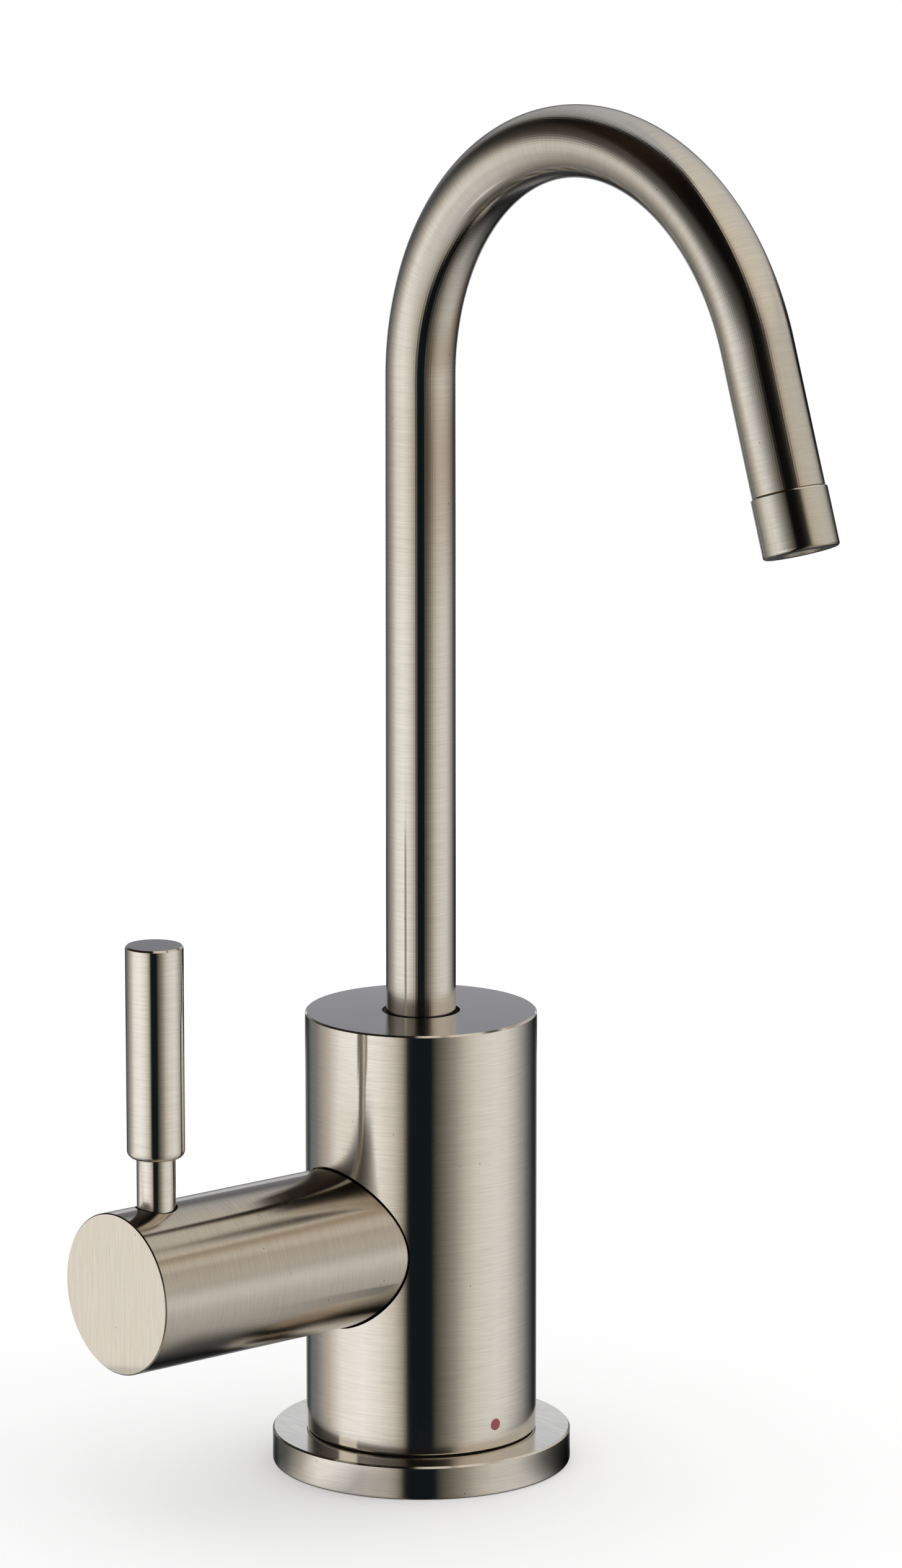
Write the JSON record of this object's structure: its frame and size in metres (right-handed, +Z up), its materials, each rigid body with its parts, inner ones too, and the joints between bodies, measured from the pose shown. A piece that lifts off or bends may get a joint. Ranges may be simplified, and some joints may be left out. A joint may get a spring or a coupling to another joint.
{
  "type": "instant hot water faucet",
  "caption": "Deck mounted instant hot water faucet: round body on a base plate, swivel gooseneck spout with aerator, and a self closing side handle with an upright lever.",
  "frame": {"origin": "on the body's vertical axis at the deck, the centre of the shank socket's mouth in the underside of the base plate", "axes": "+Z up along the body's axis, the spout points to -Y and the handle hub to -X at rest"},
  "size_m": [0.0923, 0.1271, 0.2395],
  "materials": {
    "brushed_nickel": "brushed nickel plate over brass, fine circumferential brushing",
    "brass": "plain machined brass",
    "seal_rubber": "black moulded rubber",
    "acetal": "off-white acetal",
    "black_acetal": "black acetal",
    "ceramic": "lapped white alumina",
    "steel": "stainless steel",
    "red_enamel": "muted red enamel"
  },
  "bodies": {
    "faucet_body": {"base_plate": "brushed_nickel", "base_gasket": "seal_rubber", "body_shell": "brushed_nickel", "body_seal": "seal_rubber", "hot_mark": "red_enamel", "valve_block": "brass", "cross_plug": "brass", "port_washers": "seal_rubber", "spout_bush": "black_acetal", "spout_grub_screw": "steel", "cartridge_seal": "seal_rubber", "cartridge_sleeve": "acetal", "cartridge_ring": "seal_rubber", "fixed_disc": "ceramic", "bonnet_nut": "brass", "hub_bearing": "acetal", "return_spring": "steel"},
    "spout": {"spout_ferrule": "brass", "spout_rings": "seal_rubber", "spout_tube": "brushed_nickel", "outlet_adapter": "brass", "aerator_washer": "seal_rubber", "aerator_insert": "acetal", "aerator_housing": "brushed_nickel"},
    "handle": {"moving_disc": "ceramic", "valve_stem": "brass", "stem_rings": "seal_rubber", "stop_washer": "steel", "stem_clip": "steel", "hub_insert": "brass", "hub_grub_screw": "steel", "handle_hub": "brushed_nickel", "lever_stem": "brushed_nickel", "lever_grip": "brushed_nickel"}
  },
  "joints": [
    {"name": "spout_swivel", "type": "hinge", "parent": "faucet_body", "child": "spout", "pos_m": [0, 0, 0.0801], "axis": [0, 0, 1], "continuous": true},
    {"name": "handle_turn", "type": "hinge", "parent": "faucet_body", "child": "handle", "pos_m": [-0.0577, 0, 0.0411], "axis": [1, 0, 0], "range_deg": [0, 45], "stiffness_Nm_per_rad": 0.08, "springref_deg": -34.38, "deforming": ["return_spring"]}
  ]
}
